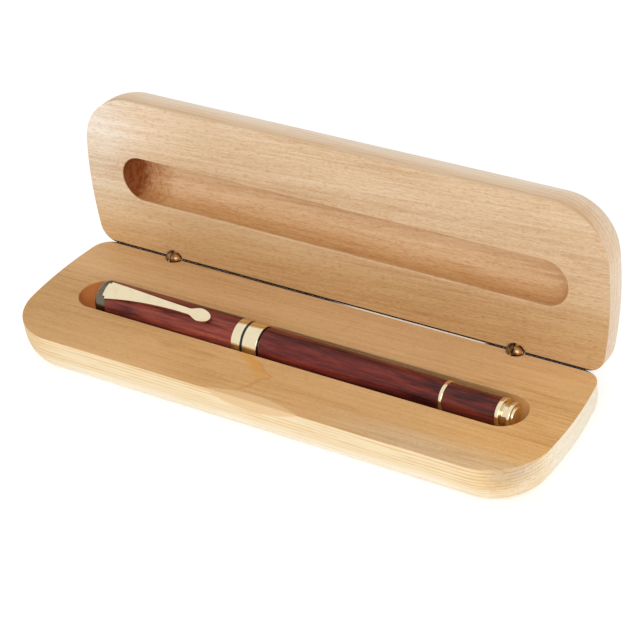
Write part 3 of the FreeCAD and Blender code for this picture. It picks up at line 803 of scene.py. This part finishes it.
# the finial: flange, neck, disc and button
finial = {"flange": 1.4, "flangeEase": 0.45, "neck": 1.9, "neckRadius": 2.9, "neckEase": 0.30,
          "disc": 1.1, "discRadius": 3.95, "discEase": 0.35,
          "buttonRadius": 2.7, "buttonRootEase": 0.08, "buttonEase": 0.42}
studStart, finialEnd, flangeRadius = span("tail_finial")
flangeEnd = tailEnd + finial["flange"]
neckEnd = flangeEnd + finial["neck"]
discEnd = neckEnd + finial["disc"]
turnPiece("turned_finial", ["tail_finial"],
          [(studStart, 0, 0), (studStart, tail["bore"], 0), (tailEnd, tail["bore"], 0),
           (tailEnd, flangeRadius, finial["flangeEase"]), (flangeEnd, flangeRadius, finial["flangeEase"]),
           (flangeEnd, finial["neckRadius"], finial["neckEase"]),
           (neckEnd, finial["neckRadius"], finial["neckEase"]),
           (neckEnd, finial["discRadius"], finial["discEase"]),
           (discEnd, finial["discRadius"], finial["discEase"]),
           (discEnd, finial["buttonRadius"], finial["buttonRootEase"]),
           (finialEnd, finial["buttonRadius"], finial["buttonEase"]), (finialEnd, 0, 0)], closed=False)

# rivets of the two hinges
rivet = {"radius": 0.6, "headRadius": 0.85, "headHeight": 0.3, "headEase": 0.28, "steps": 32}
rivetLow, rivetHigh = [corner.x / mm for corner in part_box("hinge_rivet_left")]
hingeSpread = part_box("hinge_rivet_right")[0].x / mm - rivetLow
rivetMiddle = -hingeSpread / 2
rivetStart = rivetLow - rivetMiddle
rivetEnd = rivetHigh - rivetMiddle
headEnd = rivetStart + rivet["headHeight"]
farHead = rivetEnd - rivet["headHeight"]
turnPiece("hinge_rivets", ["hinge_rivet_left", "hinge_rivet_right"],
          [(rivetStart, 0, 0), (rivetStart, rivet["headRadius"], rivet["headEase"]),
           (headEnd, rivet["headRadius"], 0), (headEnd, rivet["radius"], 0),
           (farHead, rivet["radius"], 0), (farHead, rivet["headRadius"], 0),
           (rivetEnd, rivet["headRadius"], rivet["headEase"]), (rivetEnd, 0, 0)], closed=False,
          places=((rivetMiddle * mm, hingeLine.y * mm, hingeLine.z * mm), hingeSpread * mm),
          stepsAround=rivet["steps"])
print("turned pieces made")

# stage: a white table, white air that is dimmer overhead, and one soft lamp
table = {"size": 6.0, "drop": 0.00005, "tone": 0.92, "lift": 0.30}
air = {"level": 0.81, "overhead": -0.15, "front": 0.05, "left": 0.25}
lamp = {"place": (0.75, -1.15, 0.75), "aim": (0.0, 0.01, 0.02), "size": 1.0, "power": 9.0}


def seenDirectly(graph):
    rays = [graph.node("ShaderNodeLightPath", output=name)
            for name in ("Is Camera Ray", "Is Glossy Ray", "Is Transmission Ray")]
    return graph.clamp(rays[0] + rays[1] + rays[2])


def makeTable():
    half = table["size"] / 2
    mesh = bpy.data.meshes.new("table")
    corners = [(-half, -half), (half, -half), (half, half), (-half, half)]
    mesh.from_pydata([(x, y, -table["drop"]) for x, y in corners], [], [(0, 1, 2, 3)])
    item = addItem("table", mesh)
    g = newFinish("white table")
    matt = g.node("ShaderNodeBsdfDiffuse", None, {"Color": opaque((table["tone"],) * 3)})
    glow = g.node("ShaderNodeEmission", None, {"Strength": seenDirectly(g) * table["lift"]})
    both = g.node("ShaderNodeAddShader", None, {0: matt, 1: glow})
    g.node("ShaderNodeOutputMaterial", None, {"Surface": both})
    mesh.materials.append(g.material)


# the air is plain white where it is seen, and dimmer or brighter by direction where it lights
def makeAir():
    world = bpy.data.worlds.new("white air")
    world.use_nodes = True
    scene.world = world
    g = Graph(world.node_tree)
    way = g.node("ShaderNodeTexCoord", output="Generated")
    strength = g.clamp(g.axis(way, "Z")) * air["overhead"] + air["level"]
    strength = strength - g.axis(way, "Y") * air["front"]
    strength = strength + g.above(0.0 - g.axis(way, "X")) * air["left"]
    strength = strength + seenDirectly(g) * (1.0 - strength)
    light = g.node("ShaderNodeBackground", None, {"Color": (1, 1, 1, 1), "Strength": strength})
    g.node("ShaderNodeOutputWorld", None, {"Surface": light})


def makeLamp():
    light = bpy.data.lights.new("soft lamp", "AREA")
    light.shape = "DISK"
    light.size = lamp["size"]
    light.energy = lamp["power"]
    item = addItem("soft lamp", light)
    item.location = lamp["place"]
    aim = Vector(lamp["aim"]) - Vector(lamp["place"])
    item.rotation_euler = aim.to_track_quat("-Z", "Y").to_euler()


makeTable()
makeAir()
makeLamp()

# camera, standing where the photograph was taken from
shot = {"target": (-0.00011, 0.01546, 0.01325), "azimuth": 36.78, "elevation": 35.34, "roll": -7.8,
        "distance": 0.6539, "lens": 127.94, "sensor": 36.0}


def makeCamera():
    a = math.radians(shot["azimuth"])
    e = math.radians(shot["elevation"])
    back = Vector((math.sin(a) * math.cos(e), -math.cos(a) * math.cos(e), math.sin(e)))
    right = Vector((math.cos(a), math.sin(a), 0.0))
    up = back.cross(right)
    camera = bpy.data.cameras.new("camera")
    camera.lens = shot["lens"]
    camera.sensor_width = shot["sensor"]
    item = addItem("camera", camera)
    level = Matrix((right, up, back)).transposed()
    turned = level @ Matrix.Rotation(math.radians(shot["roll"]), 3, "Z")
    eye = Vector(shot["target"]) + back * shot["distance"]
    item.matrix_world = Matrix.Translation(eye) @ turned.to_4x4()
    scene.camera = item


makeCamera()
scene.view_settings.view_transform = "Standard"
print("stage and camera set")
